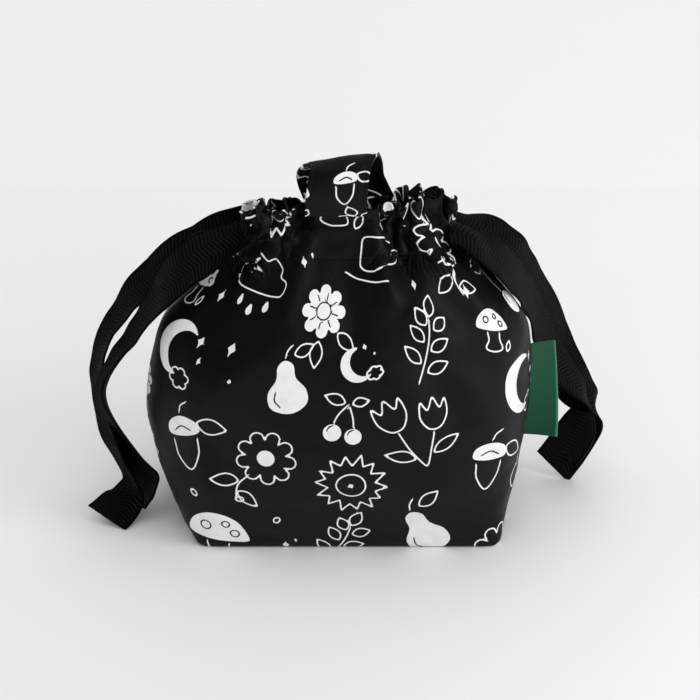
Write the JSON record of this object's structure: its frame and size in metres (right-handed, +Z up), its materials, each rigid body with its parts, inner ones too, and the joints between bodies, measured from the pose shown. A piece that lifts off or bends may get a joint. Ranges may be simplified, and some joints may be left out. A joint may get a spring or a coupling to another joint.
{
  "type": "drawstring tote bag",
  "caption": "Small cotton drawstring tote or lunch pouch: boxed base, gathered casing with flat tapes at both sides, short strap over the mouth and a folded seam label.",
  "frame": {"origin": "middle of the flat base, on the surface that the bag stands on", "axes": "+Z up, +X towards the side with the label, -Y towards the front"},
  "size_m": [0.2885, 0.1315, 0.2152],
  "materials": {
    "printed_cotton": "black plain-weave cotton with a white screen print",
    "lining_cotton": "black plain-weave cotton, unprinted",
    "tape": "black cotton herringbone tape",
    "label": "dark green woven ribbon, bare"
  },
  "bodies": {
    "pouch": {"outer_front_panel": "printed_cotton", "outer_back_panel": "printed_cotton", "outer_base": "printed_cotton", "lining_front": "lining_cotton", "lining_back": "lining_cotton", "lining_base": "lining_cotton", "casing_front": "printed_cotton", "casing_back": "printed_cotton", "casing_facing_front": "lining_cotton", "casing_facing_back": "lining_cotton", "heading_front": "printed_cotton", "heading_back": "printed_cotton", "strap_root_front": "printed_cotton", "strap_root_back": "printed_cotton"},
    "strap": {"strap_outer": "printed_cotton", "strap_facing": "printed_cotton"},
    "label": {"side_label": "label"},
    "left_tape": {"left_tape_front_strand": "tape", "left_tape_back_strand": "tape", "left_tape_front_run": "tape", "left_tape_back_run": "tape", "left_tape_turn": "tape"},
    "right_tape": {"right_tape_front_strand": "tape", "right_tape_back_strand": "tape", "right_tape_front_run": "tape", "right_tape_back_run": "tape", "right_tape_turn": "tape"}
  },
  "joints": [
    {"name": "strap_sway", "type": "hinge", "parent": "pouch", "child": "strap", "pos_m": [-0.0023, 0, 0.196], "axis": [0, 1, 0], "range_deg": [-20, 20]},
    {"name": "label_flap", "type": "hinge", "parent": "pouch", "child": "label", "pos_m": [0.1012, 0, 0.0705], "axis": [0, 0, 1], "range_deg": [-75, 5]},
    {"name": "left_tape_pull", "type": "slide", "parent": "pouch", "child": "left_tape", "axis": [-1, 0, 0], "range_m": [0, 0.008]},
    {"name": "right_tape_pull", "type": "slide", "parent": "pouch", "child": "right_tape", "axis": [1, 0, 0], "range_m": [0, 0.008]}
  ]
}
